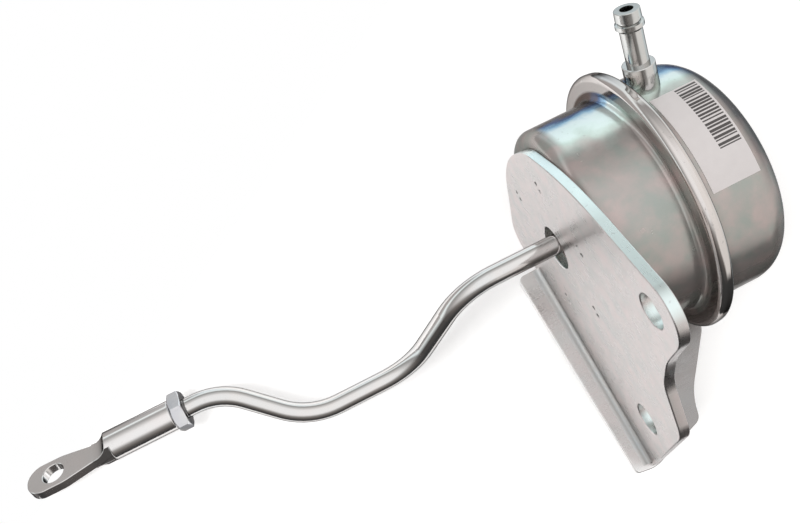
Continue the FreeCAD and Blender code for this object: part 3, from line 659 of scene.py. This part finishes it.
table_finish, tree, shader = start_material("table_finish")
tree.nodes.remove(shader)
output = next(node for node in tree.nodes if node.type == "OUTPUT_MATERIAL")
table_cloud = noise(tree, add_node(tree, "ShaderNodeTexCoord").outputs["Object"], 8.0)
matt = add_node(tree, "ShaderNodeBsdfDiffuse", {
    "Color": blend_colours(tree, table_cloud, (0.88, 0.88, 0.88, 1), (0.90, 0.90, 0.90, 1))})
glow = add_node(tree, "ShaderNodeEmission", {"Color": (1, 1, 1, 1), "Strength": TABLE_GLOW})
path = add_node(tree, "ShaderNodeLightPath")
seen = calculate(tree, "MAXIMUM", path.outputs["Is Camera Ray"], path.outputs["Is Glossy Ray"])
seen = calculate(tree, "MAXIMUM", seen, path.outputs["Is Transmission Ray"])
lit = add_node(tree, "ShaderNodeAddShader", {0: matt.outputs[0], 1: glow.outputs[0]})
shown = add_node(tree, "ShaderNodeMixShader", {0: seen, 1: matt.outputs[0], 2: lit.outputs[0]})
behind = add_node(tree, "ShaderNodeNewGeometry").outputs["Backfacing"]
clear = add_node(tree, "ShaderNodeBsdfTransparent")
one_sided = add_node(tree, "ShaderNodeMixShader", {0: behind, 1: shown.outputs[0], 2: clear.outputs[0]})
tree.links.new(one_sided.outputs[0], output.inputs["Surface"])
table.data.materials.append(table_finish)
print("table", round(TABLE_DEPTH * 1000), "mm from the camera")

# %% [markdown]
# ## The studio
# Bright metal only looks like metal when it has something to mirror.
# Here that is a bright window low at the upper left, a white ceiling above and a dark room at the lower right.
# The world gives all three, with pure white where the camera looks past the table. One soft box throws the shadow.

# %% World
world = bpy.data.worlds.new("studio")
bpy.context.scene.world = world
world.use_nodes = True
tree = world.node_tree
tree.nodes.clear()
dark_side = (image_right * 0.30 - image_up * 0.95).normalized()
direction = add_node(tree, "ShaderNodeTexCoord").outputs["Generated"]


def toward(aim):
    """How far a direction of the room points the same way as another one."""
    node = add_node(tree, "ShaderNodeVectorMath", {0: direction, 1: tuple(aim)}, operation="DOT_PRODUCT")
    return node.outputs["Value"]


rise_share = between(tree, toward(table_up), -1.0, 1.0)
window_ramp = add_node(tree, "ShaderNodeValToRGB", {"Fac": rise_share})
fill_ramp(window_ramp, (
    (0.00, (0.06, 0.06, 0.06)), (0.13, (0.08, 0.08, 0.08)), (0.22, (0.86, 0.95, 1.00)), (0.56, (0.94, 1.00, 1.00)),
    (0.63, (0.34, 0.335, 0.33)), (0.72, (0.42, 0.415, 0.41)), (0.85, (0.72, 0.71, 0.70)), (0.92, (0.95, 0.94, 0.94)),
    (1.00, (1.00, 1.00, 1.00))))
room_ramp = add_node(tree, "ShaderNodeValToRGB", {"Fac": rise_share})
fill_ramp(room_ramp, (
    (0.00, (0.04, 0.04, 0.04)), (0.50, (0.05, 0.05, 0.05)), (0.65, (0.11, 0.10, 0.095)), (0.75, (0.20, 0.185, 0.175)),
    (0.85, (0.34, 0.33, 0.32)), (0.90, (0.58, 0.57, 0.56)), (0.95, (1.00, 1.00, 1.00)), (1.00, (1.00, 1.00, 1.00))))
darkness = between(tree, toward(dark_side), 0.20, 0.62)
around_it = blend_colours(tree, darkness, window_ramp.outputs["Color"], room_ramp.outputs["Color"])
print("room with a window and a dark side")

# %% A grey wall at the left and a pale screen at the right
WALL_COLOUR = (0.44, 0.42, 0.41, 1)
SCREEN_COLOUR = (0.92, 0.89, 0.86, 1)
leftward = toward(-image_right)
wall = product(tree, between(tree, leftward, 0.40, 0.65), between(tree, rise_share, 0.44, 0.50, 1.0, 0.0))
around_it = blend_colours(tree, wall, around_it, WALL_COLOUR)
screen = product(
    tree, between(tree, leftward, -0.60, -0.38, 1.0, 0.0), between(tree, toward(image_up), -0.72, -0.58),
    between(tree, rise_share, 0.50, 0.56, 0.0, 0.85))
around_it = blend_colours(tree, screen, around_it, SCREEN_COLOUR)
path = add_node(tree, "ShaderNodeLightPath")
shade = blend_colours(tree, path.outputs["Is Camera Ray"], around_it, (1, 1, 1, 1))
backdrop = add_node(tree, "ShaderNodeBackground", {"Color": shade, "Strength": 1.0})
output = tree.nodes.new("ShaderNodeOutputWorld")
tree.links.new(backdrop.outputs[0], output.inputs["Surface"])
print("world", world.name)

# %% Soft box
BOX_WIDTH = 0.14
BOX_POWER = 1.6
object_middle = Vector((0, 50, -40)) * MM
box_place = object_middle - image_right * 0.21 + image_up * 0.05 + toward_camera * 0.60

lamp = bpy.data.lights.new("key_light", "AREA")
lamp.shape = "RECTANGLE"
lamp.size = BOX_WIDTH
lamp.size_y = BOX_WIDTH
lamp.energy = BOX_POWER
key_light = bpy.data.objects.new("key_light", lamp)
bpy.context.scene.collection.objects.link(key_light)
aim = (object_middle - box_place).normalized()
key_light.matrix_world = Matrix.Translation(box_place) @ aim.to_track_quat("-Z", "Y").to_matrix().to_4x4()
key_light.visible_glossy = False
print("soft box", round((object_middle - box_place).length, 2), "m from the object")
